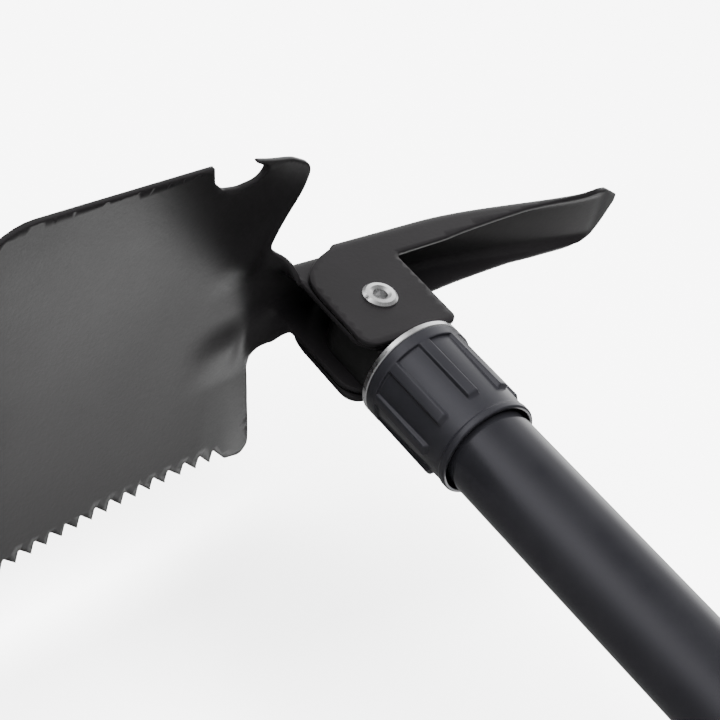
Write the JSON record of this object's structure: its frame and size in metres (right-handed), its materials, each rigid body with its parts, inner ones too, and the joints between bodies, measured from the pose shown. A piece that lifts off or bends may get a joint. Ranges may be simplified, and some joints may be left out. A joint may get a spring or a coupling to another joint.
{
  "type": "folding camp shovel",
  "caption": "Folding camp shovel with a saw-edged blade, a channel pick and a screw collar that locks both square to a tube handle.",
  "frame": {"origin": "on the handle's axis, half way along the bare grip between the collar and the end cap", "axes": "+X along the handle towards its butt, +Y the way the pick points, +Z along the hinge rivet, out of the side with the rolled rivet end"},
  "size_m": [0.27, 0.2469, 0.1048],
  "materials": {
    "pick_paint": "satin powder coat",
    "blade_paint": "satin powder coat",
    "stub_zinc": "zinc plated",
    "rivet_zinc": "bright zinc",
    "pin_steel": "plain",
    "washer_zinc": "bright zinc",
    "nut_brass": "turned",
    "collar_plastic": "moulded, semi-gloss",
    "tube_paint": "gloss black",
    "cap_plastic": "moulded"
  },
  "bodies": {
    "handle": {"handle_tube": "tube_paint", "hinge_stub": "stub_zinc", "stub_pin": "pin_steel", "end_cap": "cap_plastic"},
    "pick": {"pick": "pick_paint", "hinge_rivet": "rivet_zinc"},
    "blade": {"blade": "blade_paint"},
    "washer": {"thrust_washer": "washer_zinc"},
    "collar": {"lock_collar": "collar_plastic", "collar_nut": "nut_brass"}
  },
  "joints": [
    {"name": "pick_fold", "type": "hinge", "parent": "handle", "child": "pick", "pos_m": [-0.136, 0, 0], "axis": [0, 0, 1], "range_deg": [-90, 0]},
    {"name": "blade_fold", "type": "hinge", "parent": "pick", "child": "blade", "pos_m": [-0.136, 0, 0], "axis": [0, 0, 1], "range_deg": [0, 85]},
    {"name": "collar_slide", "type": "slide", "parent": "handle", "child": "washer", "axis": [1, 0, 0], "range_m": [-0.0015, 0.008]},
    {"name": "collar_turn", "type": "hinge", "parent": "washer", "child": "collar", "pos_m": [-0.1, 0, 0], "axis": [1, 0, 0], "range_deg": [-240, 1200]}
  ],
  "couplings": [
    {"joint": "collar_turn", "follows": "collar_slide", "rad_per_m": 2513.3}
  ]
}
